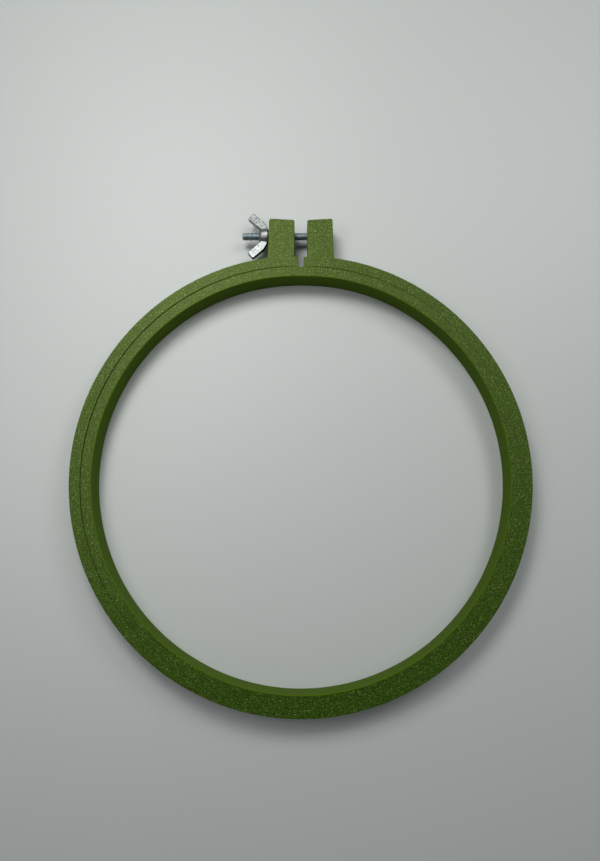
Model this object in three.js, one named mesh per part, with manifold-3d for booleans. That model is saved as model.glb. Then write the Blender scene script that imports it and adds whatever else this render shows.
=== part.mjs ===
// Embroidery hoop with a wing nut clamp, in millimetres.
// It lies flat with its underside at Z = 0 and its clamp towards +Y.
// The origin is at the middle of its underside, taken over its whole length.
// A split outer ring closes on a plain inner ring and holds the cloth between them.
// A hex head screw through the two lugs and a wing nut on its end draw the split together.

import * as THREE from 'three';
import { mergeVertices } from 'three/addons/utils/BufferGeometryUtils.js';
import Module from 'manifold-3d';

// Rings: the inner ring's outside is the hoop's trade size, 8 inches
const innerRingDiameter = 203.2;
const innerRingWall = 5;
const innerRingChamfer = 0.8;
const ringGap = 0.4;
const outerRingWall = 5;
const outerRingChamfer = 0.4;
const hoopThickness = 12.5;
const ringSides = 120;

// Clamp: the slot that splits the outer ring, and the lugs beside it, which lean in as they are clamped
const slotWidth = 2.6;
const lugGapAtRing = 6.75;
const lugGapAtTop = 6.15;
const lugWidthAtRing = 12.75;
const lugWidthAtTop = 12.4;
const lugAboveScrew = 6.6;
const lugEndDrop = 0.85;
const lugCornerRadius = 0.9;
const lugFootRadius = 0.8;
const lugChamfer = 0.3;

// Screw: M4 by 40 with a hex head, which sits in a pocket in the right lug so that it can't turn
const screwDiameter = 4;
const screwLength = 40;
const screwAboveRing = 12.3;
const screwTipChamfer = 0.5;
const headAcrossFlats = 7;
const headHeight = 2.8;
const headChamferAngle = 30;
const headFaceShare = 0.95;
const pocketDepth = 5;
const pocketClearance = 0.3;
const holeClearance = 0.4;
const seatGap = 0.3;
const roundSides = 32;

// Wing nut: a tapered hub with two flat wings that slant away from the lug and thin towards their tips
const nutBaseDiameter = 8;
const nutEndDiameter = 6.2;
const nutHeight = 4.6;
const nutEdge = 0.4;
const threadClearance = 0.2;
const wingSpan = 23.7;
const wingAngle = 41;
const wingWidth = 3.95;
const wingRootRadius = 5.2;
const wingLift = 0.3;
const wingRootRound = 3.2;
const wingTipRadius = 0.85;
const wingRootThickness = 3.8;
const wingTipThickness = 2.4;
const wingEdge = 0.3;

// Sizes that follow from the ones above
const innerRingRadius = innerRingDiameter / 2;
const boreRadius = innerRingRadius + ringGap;
const outerRadius = boreRadius + outerRingWall;
const midHeight = hoopThickness / 2;
const screwY = outerRadius + screwAboveRing;
const lugTopY = screwY + lugAboveScrew;
const screwRadius = screwDiameter / 2;
const nutBaseRadius = nutBaseDiameter / 2;
const overcut = 1;

// Where a lug's inner and outer faces are at a height y, measured out from the middle of the split
function lugInnerX(y) {
  const share = (y - outerRadius) / (lugTopY - outerRadius);
  return THREE.MathUtils.lerp(lugGapAtRing, lugGapAtTop, share) / 2;
}

function lugOuterX(y) {
  const share = (y - outerRadius) / (lugTopY - outerRadius);
  return lugInnerX(y) + THREE.MathUtils.lerp(lugWidthAtRing, lugWidthAtTop, share);
}

const pocketFloorX = lugOuterX(screwY) - pocketDepth;
const screwSeatX = pocketFloorX + seatGap;
const nutBaseX = -lugOuterX(screwY - nutBaseRadius) - seatGap;

const wasm = await Module();
wasm.setup();

// Turns a closed three.js geometry into a solid that can be joined and cut
function toSolid(geometry) {
  const bare = geometry.clone();
  bare.deleteAttribute('normal');
  bare.deleteAttribute('uv');
  const merged = mergeVertices(bare);
  const index = merged.index.array;
  const triangles = [];
  for (let i = 0; i < index.length; i += 3) {
    const [a, b, c] = [index[i], index[i + 1], index[i + 2]];
    if (a !== b && b !== c && c !== a) triangles.push(a, b, c);
  }
  return new wasm.Manifold(new wasm.Mesh({
    numProp: 3,
    vertProperties: new Float32Array(merged.attributes.position.array),
    triVerts: new Uint32Array(triangles),
  }));
}

function toGeometry(solid) {
  const mesh = solid.getMesh();
  const geometry = new THREE.BufferGeometry();
  geometry.setAttribute('position', new THREE.BufferAttribute(mesh.vertProperties, 3));
  geometry.setIndex(new THREE.BufferAttribute(mesh.triVerts, 1));
  geometry.computeVertexNormals();
  return geometry;
}

function namedMesh(name, solid, material) {
  const mesh = new THREE.Mesh(toGeometry(solid), material);
  mesh.name = name;
  return mesh;
}

// Turns a profile of radius and height about the Y axis
function turned(profile, sides) {
  const points = profile.map(([radius, height]) => new THREE.Vector2(radius, height));
  return new THREE.LatheGeometry(points, sides);
}

// A flat ring that lies on Z = 0, with its outer and inner edges chamfered top and bottom
function ring(inside, outside, innerChamfer, outerChamfer) {
  const top = hoopThickness;
  const profile = [
    [inside + innerChamfer, 0],
    [outside - outerChamfer, 0],
    [outside, outerChamfer],
    [outside, top - outerChamfer],
    [outside - outerChamfer, top],
    [inside + innerChamfer, top],
    [inside, top - innerChamfer],
    [inside, innerChamfer],
    [inside + innerChamfer, 0],
  ];
  return toSolid(turned(profile, ringSides).rotateX(Math.PI / 2));
}

// The point that lies a distance away from a start towards a goal
function towards(start, goal, distance) {
  return start.clone().lerp(goal, distance / start.distanceTo(goal));
}

// One lug, drawn for the +X side: rounded corners at its end, and a small fillet where it leaves the ring
function lug() {
  const rootY = (boreRadius + outerRadius) / 2;
  const footX = lugOuterX(outerRadius) + lugFootRadius;
  const footY = Math.sqrt(outerRadius ** 2 - footX ** 2);
  const foot = new THREE.Vector2(lugOuterX(footY), footY);
  const endOuter = new THREE.Vector2(lugOuterX(lugTopY), lugTopY);
  const endInner = new THREE.Vector2(lugInnerX(lugTopY), lugTopY - lugEndDrop);
  const rootInner = new THREE.Vector2(lugInnerX(rootY), rootY);
  const outline = new THREE.Shape();
  const lineTo = (point) => outline.lineTo(point.x, point.y);
  const curveTo = (corner, point) => outline.quadraticCurveTo(corner.x, corner.y, point.x, point.y);
  outline.moveTo(rootInner.x, rootInner.y);
  outline.lineTo(footX, rootY);
  outline.lineTo(footX, footY);
  curveTo(foot, towards(foot, endOuter, lugFootRadius));
  lineTo(towards(endOuter, foot, lugCornerRadius));
  curveTo(endOuter, towards(endOuter, endInner, lugCornerRadius));
  lineTo(towards(endInner, endOuter, lugCornerRadius));
  curveTo(endInner, towards(endInner, rootInner, lugCornerRadius));
  outline.closePath();
  const geometry = new THREE.ExtrudeGeometry(outline, {
    depth: hoopThickness - 2 * lugChamfer,
    bevelThickness: lugChamfer,
    bevelSize: lugChamfer,
    bevelOffset: -lugChamfer,
    bevelSegments: 1,
    curveSegments: 6,
  });
  return toSolid(geometry.translate(0, 0, lugChamfer));
}

// The split ring with its lugs, the screw's clearance hole and the pocket for the screw's head
function outerRing() {
  const slotDepth = outerRingWall + 2 * overcut;
  const slot = new THREE.BoxGeometry(slotWidth, slotDepth, hoopThickness + 2 * overcut)
    .translate(0, boreRadius + outerRingWall / 2, midHeight);
  const reach = lugOuterX(outerRadius) + overcut;
  const holeRadius = screwRadius + holeClearance;
  const hole = new THREE.CylinderGeometry(holeRadius, holeRadius, 2 * reach, roundSides)
    .rotateZ(Math.PI / 2)
    .translate(0, screwY, midHeight);
  const pocketLength = reach - pocketFloorX;
  const pocket = hexBar(headAcrossFlats + 2 * pocketClearance, pocketLength)
    .rotateZ(Math.PI / 2)
    .translate(pocketFloorX + pocketLength / 2, screwY, midHeight);
  const rightLug = lug();
  const leftLug = rightLug.mirror([1, 0, 0]);
  return ring(boreRadius, outerRadius, 0, outerRingChamfer)
    .add(rightLug)
    .add(leftLug)
    .subtract(toSolid(slot))
    .subtract(toSolid(hole))
    .subtract(toSolid(pocket));
}

// The plain ring that the cloth goes over
function innerRing() {
  return ring(innerRingRadius - innerRingWall, innerRingRadius, innerRingChamfer, 0);
}

// A hexagonal bar about the Y axis, with two of its corners towards +Z and -Z
function hexBar(acrossFlats, length) {
  const cornerRadius = acrossFlats / Math.sqrt(3);
  return new THREE.CylinderGeometry(cornerRadius, cornerRadius, length, 6);
}

// The screw stands on the Y axis with its head's seat at Y = 0 and its tip towards +Y
function clampScrew() {
  const shank = turned([
    [0, -headHeight / 2],
    [screwRadius, -headHeight / 2],
    [screwRadius, screwLength - screwTipChamfer],
    [screwRadius - screwTipChamfer, screwLength],
    [0, screwLength],
  ], roundSides);
  const faceRadius = headAcrossFlats * headFaceShare / 2;
  const coneRadius = headAcrossFlats;
  const coneRise = (coneRadius - faceRadius) * Math.tan(THREE.MathUtils.degToRad(headChamferAngle));
  const chamferCone = turned([
    [0, -headHeight],
    [faceRadius, -headHeight],
    [coneRadius, coneRise - headHeight],
    [coneRadius, headHeight],
    [0, headHeight],
  ], roundSides);
  const head = hexBar(headAcrossFlats, headHeight).translate(0, -headHeight / 2, 0);
  return toSolid(head).intersect(toSolid(chamferCone)).add(toSolid(shank));
}

// One wing in the XY plane, leaving the hub towards +X and slanting away from the nut's base at Y = 0
function wing() {
  const angle = THREE.MathUtils.degToRad(wingAngle);
  const along = new THREE.Vector2(Math.sin(angle), Math.cos(angle));
  const across = new THREE.Vector2(Math.cos(angle), -Math.sin(angle));
  const from = (point, alongBy, acrossBy) => point.clone()
    .addScaledVector(along, alongBy)
    .addScaledVector(across, acrossBy);
  const rootOuter = new THREE.Vector2(wingRootRadius, 0);
  const wingLength = (wingSpan / 2 - wingRootRadius) / along.x;
  const tipOuter = from(rootOuter, wingLength, 0);
  const tipInner = from(tipOuter, 0, -wingWidth);
  const rootInner = from(rootOuter, 0, -wingWidth);
  const bend = from(rootOuter, wingLift / along.y, 0);
  const bendEnd = from(bend, wingRootRound, 0);
  const outline = new THREE.Shape();
  const lineTo = (point) => outline.lineTo(point.x, point.y);
  const curveTo = (corner, point) => outline.quadraticCurveTo(corner.x, corner.y, point.x, point.y);
  outline.moveTo(0, wingLift);
  outline.lineTo(bend.x - wingRootRound, wingLift);
  curveTo(bend, bendEnd);
  lineTo(from(tipOuter, -wingTipRadius, 0));
  curveTo(tipOuter, from(tipOuter, 0, -wingTipRadius));
  lineTo(from(tipInner, 0, wingTipRadius));
  curveTo(tipInner, from(tipInner, -wingTipRadius, 0));
  lineTo(rootInner);
  outline.lineTo(0, rootInner.y);
  outline.closePath();
  const geometry = new THREE.ExtrudeGeometry(outline, {
    depth: wingRootThickness - 2 * wingEdge,
    bevelThickness: wingEdge,
    bevelSize: wingEdge,
    bevelOffset: -wingEdge,
    bevelSegments: 2,
    curveSegments: 5,
  });
  geometry.translate(0, 0, wingEdge - wingRootThickness / 2);
  thinTowardsTip(geometry, rootOuter, along, wingLength);
  return toSolid(geometry);
}

// Brings a wing's two faces together evenly from its root to its tip
function thinTowardsTip(geometry, root, along, length) {
  const position = geometry.attributes.position;
  for (let i = 0; i < position.count; i += 1) {
    const offset = new THREE.Vector2(position.getX(i), position.getY(i)).sub(root);
    const share = Math.max(offset.dot(along) / length, 0);
    const thickness = THREE.MathUtils.lerp(wingRootThickness, wingTipThickness, share);
    position.setZ(i, position.getZ(i) * thickness / wingRootThickness);
  }
}

// The nut stands on the Y axis with its base at Y = 0 and its wings towards +X and -X
function wingNut() {
  const endRadius = nutEndDiameter / 2;
  const hub = turned([
    [0, 0],
    [nutBaseRadius - nutEdge, 0],
    [nutBaseRadius, nutEdge],
    [endRadius, nutHeight - nutEdge],
    [endRadius - nutEdge, nutHeight],
    [0, nutHeight],
  ], roundSides);
  const boreSize = screwRadius + threadClearance;
  const bore = new THREE.CylinderGeometry(boreSize, boreSize, nutHeight + 2 * overcut, roundSides)
    .translate(0, nutHeight / 2, 0);
  const rightWing = wing();
  return toSolid(hub)
    .add(rightWing)
    .add(rightWing.rotate([0, 180, 0]))
    .subtract(toSolid(bore));
}

const plastic = new THREE.MeshStandardMaterial({ color: 0x5d7a2b, roughness: 0.6, metalness: 0 });
const zincPlate = new THREE.MeshStandardMaterial({ color: 0xa9b3b4, roughness: 0.35, metalness: 1 });
const castZinc = new THREE.MeshStandardMaterial({ color: 0xc9cccb, roughness: 0.45, metalness: 1 });

const hoop = new THREE.Group();
hoop.add(namedMesh('outer_ring', outerRing(), plastic));
hoop.add(namedMesh('inner_ring', innerRing(), plastic));

// The screw and the nut lie along the clamp, with their own +Y towards -X
const screw = namedMesh('clamp_screw', clampScrew(), zincPlate);
screw.position.set(screwSeatX, screwY, midHeight);
screw.rotation.z = Math.PI / 2;
hoop.add(screw);

const nut = namedMesh('wing_nut', wingNut(), castZinc);
nut.position.set(nutBaseX, screwY, midHeight);
nut.rotation.z = Math.PI / 2;
hoop.add(nut);

// The ring's centre is moved along Y so that the origin is at the middle of the hoop's underside
const extent = new THREE.Box3().setFromObject(hoop, true);
hoop.position.y = -(extent.min.y + extent.max.y) / 2;

export default hoop;
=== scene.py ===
"""Embroidery hoop with a wing nut clamp: the finished look of its two rings, its screw and its nut.

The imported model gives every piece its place. One operator makes each piece around it, in metres, and
another makes the floor, the light and the camera.
"""

import math

import bmesh
import bpy
from mathutils import Matrix, Vector


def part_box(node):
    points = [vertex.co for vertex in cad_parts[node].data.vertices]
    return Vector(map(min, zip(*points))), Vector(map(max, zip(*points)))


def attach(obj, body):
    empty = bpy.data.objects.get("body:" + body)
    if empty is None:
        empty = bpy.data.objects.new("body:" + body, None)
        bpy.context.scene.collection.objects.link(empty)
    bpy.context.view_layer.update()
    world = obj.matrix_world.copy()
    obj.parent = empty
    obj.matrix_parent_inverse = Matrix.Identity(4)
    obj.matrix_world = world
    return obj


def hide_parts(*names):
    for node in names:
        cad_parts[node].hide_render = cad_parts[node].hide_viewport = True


bl_info = {
    "name": "Embroidery Hoop",
    "version": (1, 0, 0),
    "blender": (4, 5, 0),
    "location": "View3D > Sidebar > Hoop",
    "description": "Makes a printed embroidery hoop with its clamp screw and wing nut",
    "category": "Add Mesh",
}

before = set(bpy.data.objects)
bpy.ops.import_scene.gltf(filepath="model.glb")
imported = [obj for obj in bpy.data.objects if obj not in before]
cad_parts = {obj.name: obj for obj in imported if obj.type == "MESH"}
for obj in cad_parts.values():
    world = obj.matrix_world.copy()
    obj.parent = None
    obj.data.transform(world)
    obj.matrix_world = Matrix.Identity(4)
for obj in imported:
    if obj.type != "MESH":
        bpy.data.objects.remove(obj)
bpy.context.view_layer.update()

MM = 0.001

# Points closer than NEAR count as one place, and points closer than WELD are made one point
NEAR = 0.01 * MM
WELD = 0.001 * MM

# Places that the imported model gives
outer_low, outer_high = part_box("outer_ring")
inner_low, inner_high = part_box("inner_ring")
screw_low, screw_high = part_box("clamp_screw")
_, nut_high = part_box("wing_nut")

OUTER_RADIUS = (outer_high.x - outer_low.x) / 2
INNER_RADIUS = (inner_high.x - inner_low.x) / 2
THICKNESS = outer_high.z - outer_low.z
RING_CENTRE = Vector((0.0, outer_low.y + OUTER_RADIUS, 0.0))
LUG_TOP = outer_high.y - RING_CENTRE.y
AXIS_Y = (screw_low.y + screw_high.y) / 2
AXIS_Z = (screw_low.z + screw_high.z) / 2

# The photograph's camera, fitted in a frame of 600 by 861 pixels, and its place from the ring's centre
PHOTO_HEIGHT = 861
PHOTO_FOCAL_PIXELS = 650
SENSOR_WIDTH = 36.0
CAMERA_PLACE = Vector((-1.2, -24.86, 312.3)) * MM
CAMERA_TILT = math.radians(8.63)
CAMERA_LEAN = math.radians(-0.15)

# Each lamp's place from the ring's centre and its width, in metres, and its share of the power set
NEAR_LAMPS = {
    "back_lamp": ((-0.12, 0.29, 0.42), 0.2, 1.34),
    "left_lamp": ((-0.2, 0.05, 0.35), 0.16, 0.28),
    "right_lamp": ((0.35, 0.35, 0.45), 0.2, 0.75),
}
FAR_LAMPS = {
    "far_back_lamp": ((0.6, 0.9, 1.5), 0.8, 1.1),
    "far_right_lamp": ((0.9, 0.1, 1.5), 0.6, 0.75),
}
SKY_COLOUR = (0.93, 0.96, 1.0, 1)

# The yellow-green tint of the gloss on the top's grain
GRAIN_GLOSS = (0.85, 1.0, 0.36, 1)


def length(name, default, description):
    """A size that a user can change, in metres."""
    return bpy.props.FloatProperty(
        name=name,
        description=description,
        default=default,
        min=0.0,
        precision=5,
        subtype="DISTANCE",
        unit="LENGTH",
    )


def colour(name, default, description):
    """A colour that a user can change."""
    return bpy.props.FloatVectorProperty(
        name=name,
        description=description,
        default=default,
        size=3,
        min=0.0,
        max=1.0,
        subtype="COLOR",
    )


class RingSettings(bpy.types.PropertyGroup):
    """Sizes and colours of the two printed rings."""

    wall: length("Wall", 5.0 * MM, "Width of each ring, measured outwards")
    inner_chamfer: length("Inner chamfer", 0.5 * MM, "Chamfer on the inner ring's inside edges")
    outer_round: length("Outer round", 0.35 * MM, "Rounding on the outer ring's outside edges")
    bore_round: length("Bore round", 0.05 * MM, "Rounding on the edges where the rings meet")
    steps: bpy.props.IntProperty(
        name="Steps", description="Faces round each ring", default=480, min=24, max=2000
    )
    slot_width: length("Slot", 2.6 * MM, "Width of the slot that splits the outer ring")
    lug_gap_at_ring: length("Lug gap at ring", 6.7 * MM, "Gap between the lugs where they leave the ring")
    lug_gap_at_top: length("Lug gap at top", 6.2 * MM, "Gap between the lugs at their ends")
    lug_width_at_ring: length("Lug width at ring", 12.75 * MM, "Width of a lug where it leaves the ring")
    lug_width_at_top: length("Lug width at top", 12.45 * MM, "Width of a lug at its end")
    lug_slant: length("Lug slant", 0.25 * MM, "Fall of a lug's end towards the slot, without the pull")
    lug_corner: length("Lug corner", 1.0 * MM, "Rounding of the corners at a lug's end")
    lug_foot: length("Lug foot", 0.8 * MM, "Fillet between a lug and the ring")
    slot_round: length("Slot round", 0.5 * MM, "Rounding of the steps beside the slot")
    pull_depth: length("Pull", 0.4 * MM, "How far the clamp pulls both rings in, over a wide stretch")
    pull_width: length("Pull width", 34.0 * MM, "Half the width of the stretch that is pulled in")
    end_depth: length("End pull", 0.45 * MM, "How far the clamp also pulls in the outer ring's ends")
    end_width: length("End pull width", 9.0 * MM, "Half the width of the ends that are pulled in")
    dent_depth: length("Dent", 0.2 * MM, "How far those ends press the inner ring in")
    dent_width: length("Dent width", 14.0 * MM, "Half the width of the inner ring's dent")
    spread: length("Spread", 0.21 * MM, "How much nearer the clamped inner ring lies to the outer ring")
    rest_right: length("Rest right", 0.146 * MM, "How far right of the middle the inner ring rests")
    rest_down: length("Rest down", 0.125 * MM, "How far from the clamp the inner ring is pressed")
    oval: length("Oval", 0.067 * MM, "How far the inner ring is from round")
    oval_turn: bpy.props.FloatProperty(
        name="Oval turn",
        description="Direction in which the inner ring is widest",
        default=math.radians(64),
        subtype="ANGLE",
        unit="ROTATION",
    )
    hole_clearance: length("Hole clearance", 0.4 * MM, "Room round the screw in the lugs")
    pocket_clearance: length("Pocket clearance", 0.3 * MM, "Room round the screw's head in its pocket")
    layer_height: length("Layer height", 0.2 * MM, "Height of one printed layer")
    line_width: length("Line width", 0.45 * MM, "Width of one printed line on the underside")
    plastic: colour("Plastic", (0.014, 0.043, 0.0004), "Colour of the plastic in the top's grain")
    wall_plastic: colour("Wall plastic", (0.07, 0.128, 0.006), "Colour of the smooth walls")
    # The grain's dark and light colours are partly the plastic's own grain and partly painted shade in its
    # hollows and painted light on its crumbs; the fleck colour is a painted glint
    grain_and_hollow_shade: colour("Grain dark", (0.001, 0.011, 0.0002), "Colour in the hollows of the top's grain")
    grain_and_crumb_light: colour("Grain light", (0.045, 0.108, 0.0015), "Colour on the crumbs of the top's grain")
    fleck_and_glint: colour("Fleck", (0.3, 0.41, 0.14), "Colour of the small bright flecks in the top's grain")
    gloss: bpy.props.FloatProperty(
        name="Gloss", description="Strength of the top's gloss", default=0.5, min=0.0, max=1.0
    )
    wall_gloss: bpy.props.FloatProperty(
        name="Wall gloss", description="Strength of the walls' gloss", default=0.02, min=0.0, max=1.0
    )


class ClampSettings(bpy.types.PropertyGroup):
    """Sizes and colours of the screw and the wing nut."""

    screw_diameter: length("Screw diameter", 3.88 * MM, "Outside diameter of the thread")
    screw_pitch: length("Pitch", 0.7 * MM, "Distance between the threads")
    tip_chamfer: length("Tip chamfer", 0.55 * MM, "Chamfer on the screw's end")
    head_flats: length("Head", 7.0 * MM, "Width of the head across its flats")
    head_height: length("Head height", 2.8 * MM, "Height of the head")
    nut_base: length("Nut base", 8.0 * MM, "Diameter of the nut's hub against the lug")
    nut_end: length("Nut end", 6.0 * MM, "Diameter of the nut's hub at its outer end")
    nut_height: length("Nut height", 4.6 * MM, "Height of the nut's hub")
    nut_edge: length("Nut edge", 0.4 * MM, "Rounding of the hub's edges")
    wing_width: length("Wing width", 3.95 * MM, "Width of a wing, seen on its flat face")
    wing_root: length("Wing root", 5.2 * MM, "Distance from the screw to a wing's outer edge at its base")
    wing_lift: length("Wing lift", 0.3 * MM, "Distance from the nut's base to its wings")
    wing_root_round: length("Wing root round", 3.2 * MM, "Length of the bend where a wing leaves the base")
    wing_tip_round: length("Wing tip round", 0.8 * MM, "Rounding of a wing's tip corners")
    wing_span: length("Wing span", 23.7 * MM, "Distance between the wings' outer corners, unrounded")
    wing_thick: length("Wing thickness", 3.8 * MM, "Thickness of a wing at the hub")
    wing_thin: length("Wing tip thickness", 2.6 * MM, "Thickness of a wing at its tip")
    wing_edge: length("Wing edge", 0.32 * MM, "Rounding of a wing's edges")
    wing_angle: bpy.props.FloatProperty(
        name="Wing angle",
        description="Angle between a wing and the screw",
        default=math.radians(41),
        subtype="ANGLE",
        unit="ROTATION",
    )
    steel: colour("Steel", (0.38, 0.46, 0.48), "Colour of the zinc plated screw")
    casting: colour("Casting", (0.64, 0.68, 0.66), "Colour of the cast wing nut")


class StageSettings(bpy.types.PropertyGroup):
    """The floor, the light and the camera."""

    floor_size: length("Floor", 8.0, "Width of the floor")
    floor_colour: colour("Floor colour", (0.5, 0.53, 0.51), "Colour of the floor")
    near_power: bpy.props.FloatProperty(
        name="Near power",
        description="Power of a near lamp, of which each one takes its own share",
        default=1.0,
        min=0.0,
        unit="POWER",
    )
    far_power: bpy.props.FloatProperty(
        name="Far power",
        description="Power of a far lamp, of which each one takes its own share",
        default=2.15,
        min=0.0,
        unit="POWER",
    )
    sky_strength: bpy.props.FloatProperty(
        name="Sky strength", description="Strength of the even light", default=0.12, min=0.0
    )


def extrude_up(bm, height):
    """Makes a flat shape a closed upright solid."""
    made = bmesh.ops.extrude_face_region(bm, geom=bm.faces[:])
    top = [v for v in made["geom"] if isinstance(v, bmesh.types.BMVert)]
    bmesh.ops.translate(bm, verts=top, vec=(0, 0, height))
    bmesh.ops.recalc_face_normals(bm, faces=bm.faces)


def outline_solid(outline, low, high):
    """A closed upright solid over an outline of points (x, y)."""
    bm = bmesh.new()
    bm.faces.new([bm.verts.new((x, y, low)) for x, y in outline])
    extrude_up(bm, high - low)
    return bm


def prism(radius, depth, sides, place):
    """A straight bar with equal sides, made about the origin along Z and moved by a matrix."""
    bm = bmesh.new()
    bmesh.ops.create_cone(
        bm, cap_ends=True, segments=sides, radius1=radius, radius2=radius, depth=depth, matrix=place
    )
    return bm


def turned_solid(profile, steps, closed):
    """A profile of points (radius, height) turned about the Z axis. A closed profile makes a ring."""
    bm = bmesh.new()
    verts = [bm.verts.new((radius, 0, height)) for radius, height in profile]
    pairs = list(zip(verts, verts[1:])) + ([(verts[-1], verts[0])] if closed else [])
    edges = [bm.edges.new(pair) for pair in pairs]
    bmesh.ops.spin(
        bm,
        geom=verts + edges,
        cent=(0, 0, 0),
        axis=(0, 0, 1),
        dvec=(0, 0, 0),
        angle=math.tau,
        steps=steps,
        use_merge=True,
        use_duplicate=False,
    )
    bmesh.ops.remove_doubles(bm, verts=bm.verts, dist=WELD)
    bmesh.ops.recalc_face_normals(bm, faces=bm.faces)
    return bm


def round_edges(bm, edges, amount, segments):
    """Rounds the given edges."""
    bmesh.ops.bevel(
        bm,
        geom=edges,
        offset=amount,
        offset_type="OFFSET",
        segments=segments,
        profile=0.5,
        affect="EDGES",
        clamp_overlap=True,
        material=-1,
    )


def upright_edges_near(bm, x, y):
    """The upright edges that stand over the point (x, y)."""
    found = []
    for edge in bm.edges:
        a, b = (v.co for v in edge.verts)
        upright = math.hypot(a.x - b.x, a.y - b.y) < NEAR
        if upright and math.hypot(a.x - x, a.y - y) < NEAR:
            found.append(edge)
    return found


def flat_rim_edges(bm, low, high):
    """The edges that run round the top and the bottom of a solid."""
    found = []
    for edge in bm.edges:
        a, b = (v.co.z for v in edge.verts)
        if abs(a - b) < NEAR and min(abs(a - low), abs(a - high)) < NEAR:
            found.append(edge)
    return found


def new_piece(name, bm):
    """Puts a bmesh in the scene as an object at the origin."""
    mesh = bpy.data.meshes.new(name)
    bm.to_mesh(mesh)
    bm.free()
    piece = bpy.data.objects.new(name, mesh)
    bpy.context.scene.collection.objects.link(piece)
    return piece


def settle(piece):
    """Applies all the modifiers of a piece to its mesh."""
    bpy.context.view_layer.update()
    seen = piece.evaluated_get(bpy.context.evaluated_depsgraph_get())
    mesh = bpy.data.meshes.new_from_object(seen)
    mesh.name = piece.name
    piece.modifiers.clear()
    piece.data = mesh


def combine(piece, other, operation):
    """Joins or cuts a piece with another one, which is used up."""
    modifier = piece.modifiers.new("combine", "BOOLEAN")
    modifier.operation = operation
    modifier.solver = "EXACT"
    modifier.object = other
    settle(piece)
    bpy.data.objects.remove(other)


def shade(piece, sharp_degrees):
    """Shades a piece smooth, but for edges sharper than the angle, and keeps its flat faces flat."""
    mesh = piece.data
    mesh.polygons.foreach_set("use_smooth", [True] * len(mesh.polygons))
    mesh.set_sharp_from_angle(angle=math.radians(sharp_degrees))
    weighted = piece.modifiers.new("flat faces", "WEIGHTED_NORMAL")
    weighted.keep_sharp = True


def clamp_matrix(base_x):
    """Turns a piece made along +Z to point along the screw, towards -X, with its base at base_x."""
    return Matrix(((0, 0, -1, base_x), (1, 0, 0, AXIS_Y), (0, -1, 0, AXIS_Z), (0, 0, 0, 1)))


def material_tree(name):
    """A new material with an empty node tree but for its Principled shader, which is given too."""
    material = bpy.data.materials.new(name)
    material.use_nodes = True
    tree = material.node_tree
    tree.nodes.clear()
    output = tree.nodes.new("ShaderNodeOutputMaterial")
    shader = tree.nodes.new("ShaderNodeBsdfPrincipled")
    tree.links.new(shader.outputs["BSDF"], output.inputs["Surface"])
    return material, tree, shader


def set_inputs(tree, sockets, inputs):
    """Sets a node's input sockets, each to a value or to another node's socket that it is linked to."""
    for name, value in inputs.items():
        if isinstance(value, bpy.types.NodeSocket):
            tree.links.new(value, sockets[name])
        else:
            sockets[name].default_value = value


def add_node(tree, kind, inputs, **settings):
    """Adds a node with its inputs and its settings."""
    made = tree.nodes.new(kind)
    for name, value in settings.items():
        setattr(made, name, value)
    set_inputs(tree, made.inputs, inputs)
    return made


def object_coordinates(tree):
    """The socket of the piece's own coordinates, in metres."""
    return add_node(tree, "ShaderNodeTexCoord", {}).outputs["Object"]


def noise(tree, coordinates, feature, detail, roughness=0.5):
    """A noise whose features are about as wide as the length given."""
    made = add_node(
        tree,
        "ShaderNodeTexNoise",
        {"Vector": coordinates, "Scale": 1 / feature, "Detail": detail, "Roughness": roughness},
    )
    return made.outputs["Fac"]


def ramp(tree, factor, stops):
    """A colour ramp through stops of (place, colour)."""
    made = add_node(tree, "ShaderNodeValToRGB", {"Fac": factor})
    elements = made.color_ramp.elements
    elements[0].position, elements[0].color = stops[0][0], (*stops[0][1], 1)
    elements[1].position, elements[1].color = stops[-1][0], (*stops[-1][1], 1)
    for place, shade_colour in stops[1:-1]:
        elements.new(place).color = (*shade_colour, 1)
    return made.outputs["Color"]


def math_node(tree, operation, first, second=0.0):
    """The result of a calculation on one or two values or sockets."""
    made = add_node(tree, "ShaderNodeMath", {0: first, 1: second}, operation=operation)
    return made.outputs[0]


def lerp(tree, factor, low, high):
    """A number that runs from low to high as the factor runs from 0 to 1."""
    made = add_node(tree, "ShaderNodeMapRange", {"Value": factor, "To Min": low, "To Max": high})
    return made.outputs["Result"]


def share_between(tree, value, start, end):
    """A share that runs from 0 to 1 as the value runs from start to end."""
    made = add_node(tree, "ShaderNodeMapRange", {"Value": value, "From Min": start, "From Max": end})
    return made.outputs["Result"]


def stripes(tree, distance, spacing):
    """A wave that rises and falls once in each spacing."""
    return math_node(tree, "SINE", math_node(tree, "MULTIPLY", distance, math.tau / spacing))


def bump(tree, height, distance, below=None):
    """A bump whose full height is the distance given, laid over another one where there is one."""
    inputs = {"Height": height, "Distance": distance, "Strength": 1.0}
    if below is not None:
        inputs["Normal"] = below
    return add_node(tree, "ShaderNodeBump", inputs).outputs["Normal"]


def mix_colours(tree, factor, first, second):
    """A colour between two others."""
    made = add_node(tree, "ShaderNodeMix", {}, data_type="RGBA")
    sockets = {socket.identifier: socket for socket in made.inputs}
    set_inputs(tree, sockets, {"Factor_Float": factor, "A_Color": first, "B_Color": second})
    return next(socket for socket in made.outputs if socket.identifier == "Result_Color")


def two_shades(tree, factor, whole, low, high):
    """A colour that runs from a low to a high share of a whole colour."""
    darker, lighter = ((*(c * share for c in whole), 1) for share in (low, high))
    return mix_colours(tree, factor, darker, lighter)


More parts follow.
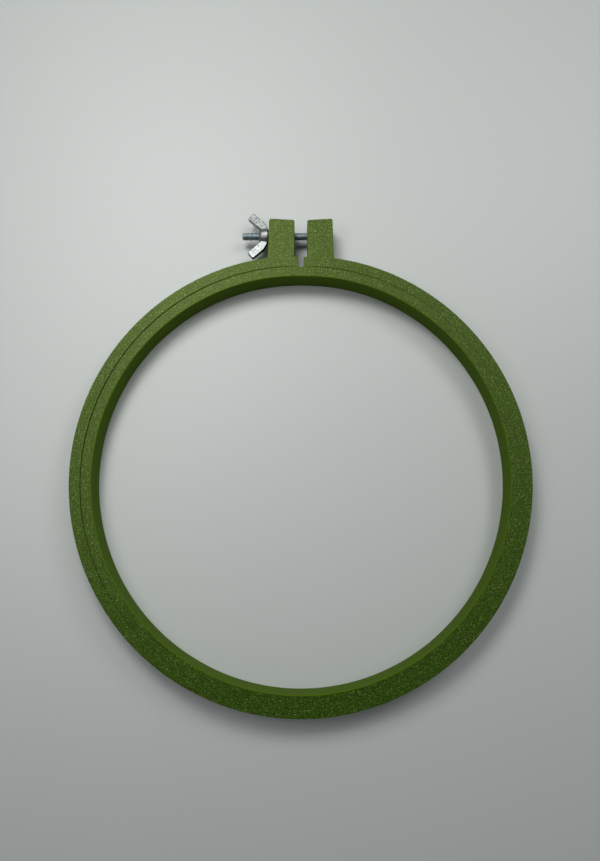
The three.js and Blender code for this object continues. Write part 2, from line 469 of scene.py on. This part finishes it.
def plate_grain_material(sizes):
    """The top face, printed against a grained plate: uneven crumbs with painted shade in their hollows and
    painted light on their tops, and small glossier flecks brightened by a painted glint.
    """
    material, tree, shader = material_tree("plate_grain")
    coordinates = object_coordinates(tree)
    crumbs = noise(tree, coordinates, 0.6 * MM, detail=3.0, roughness=0.75)
    patches = noise(tree, coordinates, 5.0 * MM, detail=2.0)
    # Painted shade and light: the crumbs' noise also makes the bump, so the dark colour falls in its
    # hollows and the light one on its tops
    stops = [(0.43, sizes.grain_and_hollow_shade), (0.5, sizes.plastic), (0.57, sizes.grain_and_crumb_light)]
    grain = ramp(tree, crumbs, stops)
    tone = mix_colours(tree, lerp(tree, patches, 0.0, 0.3), grain, (*sizes.plastic, 1))

    # The flecks are the middles of cells, but only of those whose chance is above the plain share
    cell_width = 0.5 * MM
    fleck_rim, fleck_middle = 0.42, 0.22
    plain_share = 0.7
    cells = add_node(
        tree, "ShaderNodeTexVoronoi", {"Vector": coordinates, "Scale": 1 / cell_width, "Randomness": 1.0}
    )
    near = share_between(tree, cells.outputs["Distance"], fleck_rim, fleck_middle)
    chance = add_node(tree, "ShaderNodeSeparateColor", {"Color": cells.outputs["Color"]}).outputs["Red"]
    flecks = math_node(tree, "MULTIPLY", near, share_between(tree, chance, plain_share, 1.0))
    inputs = {
        # Painted glint: the flecks get a colour far brighter than the plastic
        "Base Color": mix_colours(tree, flecks, tone, (*sizes.fleck_and_glint, 1)),
        "Roughness": lerp(tree, flecks, 0.45, 0.28),
        "Specular IOR Level": sizes.gloss,
        "Specular Tint": GRAIN_GLOSS,
        "Normal": bump(tree, crumbs, 0.09 * MM),
    }
    set_inputs(tree, shader.inputs, inputs)
    return material


def layered_wall_material(sizes):
    """The walls: smooth plastic with fine level lines, one for each printed layer."""
    material, tree, shader = material_tree("layered_wall")
    coordinates = object_coordinates(tree)
    height = add_node(tree, "ShaderNodeSeparateXYZ", {"Vector": coordinates}).outputs["Z"]
    unevenness = noise(tree, coordinates, 6.0 * MM, detail=2.0)
    pores = noise(tree, coordinates, 0.5 * MM, detail=2.0)
    layers = bump(tree, stripes(tree, height, sizes.layer_height), 0.012 * MM)
    inputs = {
        "Base Color": two_shades(tree, unevenness, sizes.wall_plastic, low=0.86, high=1.0),
        "Roughness": lerp(tree, unevenness, 0.42, 0.55),
        "Specular IOR Level": sizes.wall_gloss,
        "Normal": bump(tree, pores, 0.015 * MM, below=layers),
    }
    set_inputs(tree, shader.inputs, inputs)
    return material


def printed_underside_material(sizes):
    """The underside, as the last printed layer leaves it: fine lines round the hoop, side by side."""
    material, tree, shader = material_tree("printed_underside")
    coordinates = object_coordinates(tree)
    centred = add_node(
        tree, "ShaderNodeVectorMath", {0: coordinates, 1: RING_CENTRE}, operation="SUBTRACT"
    ).outputs["Vector"]
    flat = add_node(
        tree, "ShaderNodeVectorMath", {0: centred, 1: (1, 1, 0)}, operation="MULTIPLY"
    ).outputs["Vector"]
    radius = add_node(tree, "ShaderNodeVectorMath", {0: flat}, operation="LENGTH").outputs["Value"]
    unevenness = noise(tree, coordinates, 4.0 * MM, detail=2.0)
    inputs = {
        "Base Color": two_shades(tree, unevenness, sizes.wall_plastic, low=0.82, high=1.0),
        "Roughness": lerp(tree, unevenness, 0.38, 0.55),
        "Specular IOR Level": sizes.gloss,
        "Normal": bump(tree, stripes(tree, radius, sizes.line_width), 0.04 * MM),
    }
    set_inputs(tree, shader.inputs, inputs)
    return material


def plated_steel_material(clamp):
    """The screw: bright bluish plate, a little duller in patches."""
    material, tree, shader = material_tree("plated_steel")
    coordinates = object_coordinates(tree)
    patches = noise(tree, coordinates, 1.6 * MM, detail=3.0)
    specks = noise(tree, coordinates, 0.3 * MM, detail=2.0)
    inputs = {
        "Base Color": two_shades(tree, patches, clamp.steel, low=0.72, high=1.0),
        "Roughness": lerp(tree, patches, 0.42, 0.55),
        "Normal": bump(tree, specks, 0.008 * MM),
        "Metallic": 1.0,
    }
    set_inputs(tree, shader.inputs, inputs)
    return material


def mottled_tone(tree, mottle, casting, dark_share, dark_place, worn_place):
    """The casting's colour, with dark hollows and a worn shade between them and the bright skin."""
    worn_share = 0.85
    bright_place = 0.6
    shares = ((dark_place, dark_share), (worn_place, worn_share), (bright_place, 1.0))
    return ramp(tree, mottle, [(place, [c * share for c in casting]) for place, share in shares])


def cast_metal_material(clamp):
    """The nut's wings: a plated casting with a mottled, lumpy skin, and painted shade that makes the far
    wing duller.
    """
    material, tree, shader = material_tree("cast_metal")
    coordinates = object_coordinates(tree)
    mottle = noise(tree, coordinates, 0.8 * MM, detail=3.0, roughness=0.65)
    lumps = noise(tree, coordinates, 0.6 * MM, detail=2.0)
    near_tone = mottled_tone(
        tree, mottle, clamp.casting, dark_share=0.4, dark_place=0.34, worn_place=0.44
    )
    # Painted shade: the wing beyond the screw gets a darker copy of the casting's colour, standing for the
    # weaker reflection of the lamps on its face
    painted_shade_brightness = 0.72
    painted_shade_casting = [c * painted_shade_brightness for c in clamp.casting]
    painted_shade_tone = mottled_tone(tree, mottle, painted_shade_casting, dark_share=0.3, dark_place=0.4, worn_place=0.49)
    across = add_node(tree, "ShaderNodeSeparateXYZ", {"Vector": coordinates}).outputs["Y"]
    blend_width = 3 * MM
    painted_shade_share = share_between(tree, across, AXIS_Y, AXIS_Y + blend_width)
    inputs = {
        "Base Color": mix_colours(tree, painted_shade_share, near_tone, painted_shade_tone),
        "Roughness": lerp(tree, mottle, 0.72, 0.58),
        "Normal": bump(tree, lumps, 0.06 * MM),
        "Metallic": 1.0,
    }
    set_inputs(tree, shader.inputs, inputs)
    return material


def painted_shade_side_material(clamp):
    """The narrow sides and edges of the nut's wings: the same plate, darkened with painted shade."""
    material, tree, shader = material_tree("painted_shade_side")
    coordinates = object_coordinates(tree)
    patches = noise(tree, coordinates, 0.8 * MM, detail=2.0)
    inputs = {
        # Painted shade: the sides get only a small share of the casting's colour, standing for the dark
        # surroundings they reflect
        "Base Color": two_shades(tree, patches, clamp.casting, low=0.05, high=0.14),
        "Roughness": lerp(tree, patches, 0.35, 0.5),
        "Normal": bump(tree, patches, 0.03 * MM),
        "Metallic": 1.0,
    }
    set_inputs(tree, shader.inputs, inputs)
    return material


def turned_metal_material(clamp):
    """The nut's hub: smoother than its wings, and darker through painted shade."""
    material, tree, shader = material_tree("turned_metal")
    coordinates = object_coordinates(tree)
    patches = noise(tree, coordinates, 2.0 * MM, detail=2.0)
    specks = noise(tree, coordinates, 0.5 * MM, detail=2.0)
    inputs = {
        # Painted shade: the hub gets a low share of the casting's colour, so it is darker than the wings
        "Base Color": two_shades(tree, patches, clamp.casting, low=0.36, high=0.44),
        "Roughness": lerp(tree, patches, 0.42, 0.5),
        "Normal": bump(tree, specks, 0.01 * MM),
        "Metallic": 1.0,
    }
    set_inputs(tree, shader.inputs, inputs)
    return material


def print_materials(sizes):
    """The three finishes of the printed plastic, made once and shared by the rings."""
    makers = {
        "plate_grain": plate_grain_material,
        "layered_wall": layered_wall_material,
        "printed_underside": printed_underside_material,
    }
    return [bpy.data.materials.get(name) or make(sizes) for name, make in makers.items()]


def finish_print(piece, sizes):
    """Gives a printed piece its grain on top, layer lines on its walls and printed lines underneath."""
    piece.data.materials.clear()
    for material in print_materials(sizes):
        piece.data.materials.append(material)
    grain, wall, underside = range(3)
    level, skin = 0.99, 0.1 * MM
    for face in piece.data.polygons:
        on_top = face.normal.z > level and face.center.z > THICKNESS - skin
        underneath = face.normal.z < -level and face.center.z < skin
        face.material_index = grain if on_top else underside if underneath else wall
    shade(piece, sharp_degrees=50)


def rim_at(bm, radius):
    """The level edges that run round a ring's top and bottom at a radius."""
    return [
        edge
        for edge in flat_rim_edges(bm, 0, THICKNESS)
        if all(abs(math.hypot(v.co.x, v.co.y) - radius) < NEAR for v in edge.verts)
    ]


def circle_y(radius, x):
    """The y of the point at x on the upper half of a circle about the origin."""
    return math.sqrt(radius**2 - x**2)


def dent_at(depth, half_width, x):
    """How deep a smooth dent is at a point x beside its middle."""
    return depth * math.exp(-((x / half_width) ** 2))


def pull_at(sizes, x):
    """How far the clamp pulls the outer ring in, at a point x beside the slot."""
    wide = dent_at(sizes.pull_depth, sizes.pull_width, x)
    return wide + dent_at(sizes.end_depth, sizes.end_width, x)


def split_ring_outline(sizes):
    """A flat C with its two lugs, about the origin, and the places of its upright corners."""
    bore = OUTER_RADIUS - sizes.wall
    slot = sizes.slot_width / 2
    gap_low, gap_high = sizes.lug_gap_at_ring / 2, sizes.lug_gap_at_top / 2
    foot_x = gap_low + sizes.lug_width_at_ring
    end_x = gap_high + sizes.lug_width_at_top
    end_y = LUG_TOP + pull_at(sizes, end_x)
    corners = {
        "step": (slot, circle_y(OUTER_RADIUS, slot)),
        "inner foot": (gap_low, circle_y(OUTER_RADIUS, gap_low)),
        "inner top": (gap_high, end_y - sizes.lug_slant),
        "outer top": (end_x, end_y),
        "outer foot": (foot_x, circle_y(OUTER_RADIUS, foot_x)),
    }
    bm = bmesh.new()
    right = [bm.verts.new((x, y, 0)) for x, y in corners.values()]
    left = [bm.verts.new((-x, y, 0)) for x, y in corners.values()]
    right_bore = bm.verts.new((slot, circle_y(bore, slot), 0))
    left_bore = bm.verts.new((-slot, circle_y(bore, slot), 0))
    for side, bore_end in ((right, right_bore), (left, left_bore)):
        for pair in (*zip(side, side[1:]), (side[0], bore_end)):
            bm.edges.new(pair)
    for start, radius in ((right[-1], OUTER_RADIUS), (right_bore, bore)):
        turn = math.tau - 2 * math.asin(start.co.x / radius)
        bmesh.ops.spin(bm, geom=[start], cent=(0, 0, 0), axis=(0, 0, 1), angle=-turn, steps=sizes.steps)
    bmesh.ops.remove_doubles(bm, verts=bm.verts, dist=NEAR)
    bmesh.ops.contextual_create(bm, geom=bm.edges[:])
    return bm, corners


def press_oval(bm, amount, direction):
    """Makes a ring about the origin a little oval."""
    for vert in bm.verts:
        angle = math.atan2(vert.co.y, vert.co.x)
        radius = math.hypot(vert.co.x, vert.co.y)
        scale = 1 + amount * math.cos(2 * (angle - direction)) / radius
        vert.co.x *= scale
        vert.co.y *= scale


def pull_in(bm, pull):
    """Draws the clamp's side of a ring in towards its middle, by what the pull gives for each x."""
    for vert in bm.verts:
        if vert.co.y > 0:
            vert.co.y -= pull(vert.co.x)


def cutting_bar(radius, start, end, sides):
    """A bar along the screw's axis, from one x to another, to cut a hole with."""
    middle = Matrix.Translation(((start + end) / 2, AXIS_Y, AXIS_Z))
    along_x = Matrix.Rotation(math.pi / 2, 4, "Y")
    return new_piece("cutting_bar", prism(radius, end - start, sides, middle @ along_x))


class HOOP_OT_outer_ring(bpy.types.Operator):
    """Make the split outer ring with its clamp lugs"""

    bl_idname = "hoop.outer_ring"
    bl_label = "Outer Ring"

    def execute(self, context):
        sizes = context.scene.hoop_rings
        clamp = context.scene.hoop_clamp
        bm, corners = split_ring_outline(sizes)
        extrude_up(bm, THICKNESS)
        rounds = {
            "step": sizes.slot_round,
            "inner foot": sizes.slot_round,
            "inner top": sizes.lug_corner,
            "outer top": sizes.lug_corner,
            "outer foot": sizes.lug_foot,
        }
        for name, amount in rounds.items():
            x, y = corners[name]
            edges = upright_edges_near(bm, x, y) + upright_edges_near(bm, -x, y)
            round_edges(bm, edges, amount, segments=6)
        bore = OUTER_RADIUS - sizes.wall
        bore_rim = set(rim_at(bm, bore))
        slot_edge = sizes.slot_width / 2 + NEAR
        outside = [
            edge
            for edge in flat_rim_edges(bm, 0, THICKNESS)
            if edge not in bore_rim and min(abs(v.co.x) for v in edge.verts) > slot_edge
        ]
        round_edges(bm, outside, sizes.outer_round, segments=3)
        round_edges(bm, rim_at(bm, bore), sizes.bore_round, segments=2)
        pull_in(bm, lambda x: pull_at(sizes, x))
        bmesh.ops.translate(bm, verts=bm.verts, vec=RING_CENTRE)
        piece = new_piece("outer_ring_print", bm)
        reach = OUTER_RADIUS / 4
        hole_radius = clamp.screw_diameter / 2 + sizes.hole_clearance
        combine(piece, cutting_bar(hole_radius, -reach, reach, sides=48), "DIFFERENCE")
        pocket_floor = screw_high.x - clamp.head_height - sizes.pocket_clearance
        pocket_radius = (clamp.head_flats + 2 * sizes.pocket_clearance) / math.sqrt(3)
        combine(piece, cutting_bar(pocket_radius, pocket_floor, reach, sides=6), "DIFFERENCE")
        finish_print(piece, sizes)
        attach(piece, "outer_ring")
        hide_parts("outer_ring")
        return {"FINISHED"}


class HOOP_OT_inner_ring(bpy.types.Operator):
    """Make the plain inner ring that the cloth goes over"""

    bl_idname = "hoop.inner_ring"
    bl_label = "Inner Ring"

    def execute(self, context):
        sizes = context.scene.hoop_rings
        outside = INNER_RADIUS + sizes.spread
        inside = outside - sizes.wall
        profile = [(inside, 0), (outside, 0), (outside, THICKNESS), (inside, THICKNESS)]
        bm = turned_solid(profile, sizes.steps, closed=True)
        round_edges(bm, rim_at(bm, inside), sizes.inner_chamfer, segments=4)
        round_edges(bm, rim_at(bm, outside), sizes.bore_round, segments=2)
        press_oval(bm, sizes.oval, sizes.oval_turn)
        pull_in(bm, lambda x: dent_at(sizes.pull_depth, sizes.pull_width, x))
        pull_in(bm, lambda x: dent_at(sizes.dent_depth, sizes.dent_width, x))
        rest = Vector((sizes.rest_right, -sizes.rest_down, 0))
        bmesh.ops.translate(bm, verts=bm.verts, vec=RING_CENTRE + rest)
        piece = new_piece("inner_ring_print", bm)
        finish_print(piece, sizes)
        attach(piece, "inner_ring")
        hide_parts("inner_ring")
        return {"FINISHED"}


def threaded_rod(radius, pitch, rod_length, tip_chamfer):
    """A closed rod along +Z from 0 to its length, with a right-hand thread and a chamfered end."""
    turn_steps = 36

    # The depth of a metric thread, and where along it its slopes start and end, as shares of the pitch
    thread_depth = 0.6134
    rise_start, rise_end, fall_start = 0.25, 0.5625, 0.6875
    root = radius - thread_depth * pitch
    profile = [(root, 0), (root, rise_start), (radius, rise_end), (radius, fall_start), (root, 1)]

    # The thread starts one turn below the rod and ends past it, and both ends are cut level
    spare_turns = 2
    turns = math.ceil(rod_length / pitch) + spare_turns
    bm = bmesh.new()
    verts = [bm.verts.new((r, 0, (share - 1) * pitch)) for r, share in profile]
    edges = [bm.edges.new(pair) for pair in zip(verts, verts[1:])]
    bmesh.ops.spin(
        bm,
        geom=verts + edges,
        cent=(0, 0, 0),
        axis=(0, 0, 1),
        dvec=(0, 0, pitch / turn_steps),
        angle=math.tau * turns,
        steps=turn_steps * turns,
        use_merge=False,
        use_duplicate=False,
    )
    bmesh.ops.remove_doubles(bm, verts=bm.verts, dist=WELD)
    for height, side in ((0, -1), (rod_length, 1)):
        bmesh.ops.bisect_plane(
            bm,
            geom=bm.verts[:] + bm.edges[:] + bm.faces[:],
            dist=WELD / 10,
            plane_co=(0, 0, height),
            plane_no=(0, 0, side),
            clear_outer=True,
        )
        rim = [
            edge
            for edge in bm.edges
            if edge.is_boundary and all(abs(v.co.z - height) < NEAR for v in edge.verts)
        ]
        bmesh.ops.edgeloop_fill(bm, edges=rim)
    for vert in bm.verts:
        distance = math.hypot(vert.co.x, vert.co.y)
        allowed = radius - tip_chamfer + max(rod_length - vert.co.z, 0)
        if distance > allowed:
            vert.co.x *= allowed / distance
            vert.co.y *= allowed / distance
    bmesh.ops.recalc_face_normals(bm, faces=bm.faces)
    return bm


def hex_head(flats, height):
    """A hexagonal head under Z = 0, with the corners of its outer face chamfered."""
    middle = Matrix.Translation((0, 0, -height / 2))
    half_a_side = Matrix.Rotation(math.radians(30), 4, "Z")
    head = new_piece("head", prism(flats / math.sqrt(3), height, 6, middle @ half_a_side))
    face_share = 0.95
    chamfer_angle = math.radians(30)
    face_radius = face_share * flats / 2
    wide = flats
    rise = (wide - face_radius) * math.tan(chamfer_angle)
    profile = [(0, -height), (face_radius, -height), (wide, rise - height), (wide, height), (0, height)]
    cone = turned_solid(profile, steps=96, closed=False)
    combine(head, new_piece("cone", cone), "INTERSECT")
    return head


class HOOP_OT_clamp_screw(bpy.types.Operator):
    """Make the hex head clamp screw with its thread"""

    bl_idname = "hoop.clamp_screw"
    bl_label = "Clamp Screw"

    def execute(self, context):
        clamp = context.scene.hoop_clamp
        seat_x = screw_high.x - clamp.head_height
        rod_length = seat_x - screw_low.x
        hidden = 1.0 * MM
        radius = clamp.screw_diameter / 2
        rod = threaded_rod(radius, clamp.screw_pitch, rod_length + hidden, clamp.tip_chamfer)
        bmesh.ops.translate(rod, verts=rod.verts, vec=(0, 0, -hidden))
        piece = new_piece("clamp_screw_threaded", rod)
        combine(piece, hex_head(clamp.head_flats, clamp.head_height), "UNION")
        piece.data.transform(clamp_matrix(seat_x))
        piece.data.materials.clear()
        piece.data.materials.append(plated_steel_material(clamp))
        shade(piece, sharp_degrees=35)
        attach(piece, "clamp_screw")
        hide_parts("clamp_screw")
        return {"FINISHED"}


def wing_solid(clamp, side):
    """One wing of the nut, upright in the XZ plane and thinned towards its tip."""
    angle = clamp.wing_angle
    along = Vector((math.sin(angle), math.cos(angle)))
    across = Vector((math.cos(angle), -math.sin(angle)))
    root = Vector((clamp.wing_root, 0))
    wing_length = (clamp.wing_span / 2 - root.x) / along.x
    bend = root + along * (clamp.wing_lift / along.y)
    tip = root + along * wing_length
    inner_tip = tip - across * clamp.wing_width
    inner_root = root - across * clamp.wing_width
    outline = [
        Vector((0, clamp.wing_lift)),
        bend,
        tip,
        inner_tip,
        inner_root,
        Vector((0, inner_root.y)),
    ]
    half = clamp.wing_thick / 2
    bm = outline_solid([tuple(p) for p in outline], -half, half)
    round_edges(bm, upright_edges_near(bm, *bend), clamp.wing_root_round, segments=10)
    for corner in (tip, inner_tip):
        round_edges(bm, upright_edges_near(bm, *corner), clamp.wing_tip_round, segments=6)
    round_edges(bm, flat_rim_edges(bm, -half, half), clamp.wing_edge, segments=3)
    for vert in bm.verts:
        share = min(max((Vector((vert.co.x, vert.co.y)) - root).dot(along) / wing_length, 0), 1)
        vert.co.z *= (clamp.wing_thick + (clamp.wing_thin - clamp.wing_thick) * share) / clamp.wing_thick
    stand = Matrix(((side, 0, 0, 0), (0, 0, 1, 0), (0, 1, 0, 0), (0, 0, 0, 1)))
    bmesh.ops.transform(bm, matrix=stand, verts=bm.verts)
    bmesh.ops.recalc_face_normals(bm, faces=bm.faces)
    return bm


def hub_profile(clamp):
    """Half of the hub's bell shape, from its base's middle to its end's middle."""
    base, end, height, edge = clamp.nut_base / 2, clamp.nut_end / 2, clamp.nut_height, clamp.nut_edge
    points = [(0, 0), (base - edge, 0), (base, edge)]
    steps, flare = 12, 1.5
    for step in range(1, steps + 1):
        turn = math.pi / 2 * step / steps
        radius = end + (base - end) * math.cos(turn)
        level = edge + (height - 2 * edge) * math.sin(turn) ** flare
        points.append((radius, level))
    return points + [(end - edge, height), (0, height)]


def finish_nut(piece, clamp):
    """Gives the nut its turned hub, and its wings their cast faces and sides, with painted shade on the
    hub, the sides and the far wing.
    """
    piece.data.materials.clear()
    for make in (cast_metal_material, turned_metal_material, painted_shade_side_material):
        piece.data.materials.append(make(clamp))
    wing_face, hub, shaded_wing_side = range(3)
    skin, flat = 0.05 * MM, 0.9
    hub_reach = clamp.nut_base / 2 + skin
    for face in piece.data.polygons:
        # Painted shade: faces that are not flat wing faces get the darkened side material
        wing = wing_face if abs(face.normal.y) > flat else shaded_wing_side
        face.material_index = hub if face.center.xy.length < hub_reach else wing


class HOOP_OT_wing_nut(bpy.types.Operator):
    """Make the cast wing nut"""

    bl_idname = "hoop.wing_nut"
    bl_label = "Wing Nut"

    def execute(self, context):
        clamp = context.scene.hoop_clamp
        height, edge = clamp.nut_height, clamp.nut_edge
        hub = turned_solid(hub_profile(clamp), steps=96, closed=False)
        piece = new_piece("wing_nut_cast", hub)
        for side in (1, -1):
            combine(piece, new_piece("wing", wing_solid(clamp, side)), "UNION")
        clearance = 0.06 * MM
        bore = clamp.screw_diameter / 2 + clearance
        lead = 0.3 * MM
        drill_profile = [
            (0, -edge),
            (bore + lead + edge, -edge),
            (bore, lead),
            (bore, height - lead),
            (bore + lead + edge, height + edge),
            (0, height + edge),
        ]
        drill = turned_solid(drill_profile, steps=64, closed=False)
        combine(piece, new_piece("drill", drill), "DIFFERENCE")
        finish_nut(piece, clamp)
        piece.data.transform(clamp_matrix(nut_high.x))
        shade(piece, sharp_degrees=40)
        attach(piece, "wing_nut")
        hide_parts("wing_nut")
        return {"FINISHED"}


def floor_material(stage):
    """A pale, dull table top."""
    material, tree, shader = material_tree("pale_floor")
    clouds = noise(tree, object_coordinates(tree), 120 * MM, detail=2.0)
    inputs = {
        "Base Color": two_shades(tree, clouds, stage.floor_colour, low=0.97, high=1.0),
        "Roughness": 0.55,
        "Specular IOR Level": 0.9,
    }
    set_inputs(tree, shader.inputs, inputs)
    return material


def soft_lamp(name, place, width, power):
    """A square soft lamp that faces the hoop's middle from a place above it."""
    light = bpy.data.lights.new(name, "AREA")
    light.shape = "SQUARE"
    light.size = width
    light.energy = power
    lamp = bpy.data.objects.new(name, light)
    lamp.location = RING_CENTRE + place
    lamp.rotation_euler = (-place).to_track_quat("-Z", "Y").to_euler()
    bpy.context.scene.collection.objects.link(lamp)


def photo_camera():
    """A camera at the photograph's viewing angle: from above, tilted a little towards the clamp."""
    data = bpy.data.cameras.new("camera")
    data.sensor_width = SENSOR_WIDTH
    data.lens = PHOTO_FOCAL_PIXELS / PHOTO_HEIGHT * SENSOR_WIDTH
    data.clip_start = 0.01
    data.clip_end = 20.0
    camera = bpy.data.objects.new("camera", data)
    camera.location = RING_CENTRE + CAMERA_PLACE
    camera.rotation_euler = (CAMERA_TILT, CAMERA_LEAN, 0)
    bpy.context.scene.collection.objects.link(camera)
    bpy.context.scene.camera = camera


class HOOP_OT_stage(bpy.types.Operator):
    """Make the floor, the light and the camera"""

    bl_idname = "hoop.stage"
    bl_label = "Stage"

    def execute(self, context):
        stage = context.scene.hoop_stage
        bm = bmesh.new()
        bmesh.ops.create_grid(bm, x_segments=1, y_segments=1, size=stage.floor_size / 2)
        floor = new_piece("floor", bm)
        floor.data.materials.append(floor_material(stage))
        for lamps, power in ((NEAR_LAMPS, stage.near_power), (FAR_LAMPS, stage.far_power)):
            for name, (place, width, share) in lamps.items():
                soft_lamp(name, Vector(place), width, power * share)
        world = bpy.data.worlds.new("even_light")
        world.use_nodes = True
        background = world.node_tree.nodes["Background"]
        background.inputs["Color"].default_value = SKY_COLOUR
        background.inputs["Strength"].default_value = stage.sky_strength
        context.scene.world = world
        context.scene.view_settings.view_transform = "Standard"
        photo_camera()
        return {"FINISHED"}


class HOOP_PT_panel(bpy.types.Panel):
    """Lists the operators and all the settings"""

    bl_idname = "HOOP_PT_panel"
    bl_label = "Embroidery Hoop"
    bl_space_type = "VIEW_3D"
    bl_region_type = "UI"
    bl_category = "Hoop"

    def draw(self, context):
        for operator in OPERATORS:
            self.layout.operator(operator.bl_idname)
        for group in (context.scene.hoop_rings, context.scene.hoop_clamp, context.scene.hoop_stage):
            box = self.layout.box()
            for name in group.__annotations__:
                box.prop(group, name)


SETTINGS = {"hoop_rings": RingSettings, "hoop_clamp": ClampSettings, "hoop_stage": StageSettings}
OPERATORS = (HOOP_OT_outer_ring, HOOP_OT_inner_ring, HOOP_OT_clamp_screw, HOOP_OT_wing_nut, HOOP_OT_stage)


def register():
    """Adds the settings, the operators and the panel."""
    for cls in (*SETTINGS.values(), *OPERATORS, HOOP_PT_panel):
        bpy.utils.register_class(cls)
    for name, group in SETTINGS.items():
        setattr(bpy.types.Scene, name, bpy.props.PointerProperty(type=group))


def unregister():
    """Takes away what register added."""
    for name in SETTINGS:
        delattr(bpy.types.Scene, name)
    for cls in reversed((*SETTINGS.values(), *OPERATORS, HOOP_PT_panel)):
        bpy.utils.unregister_class(cls)


def main():
    """Makes all the pieces and the stage."""
    register()
    bpy.ops.hoop.outer_ring()
    bpy.ops.hoop.inner_ring()
    bpy.ops.hoop.clamp_screw()
    bpy.ops.hoop.wing_nut()
    bpy.ops.hoop.stage()


if __name__ == "__main__":
    main()
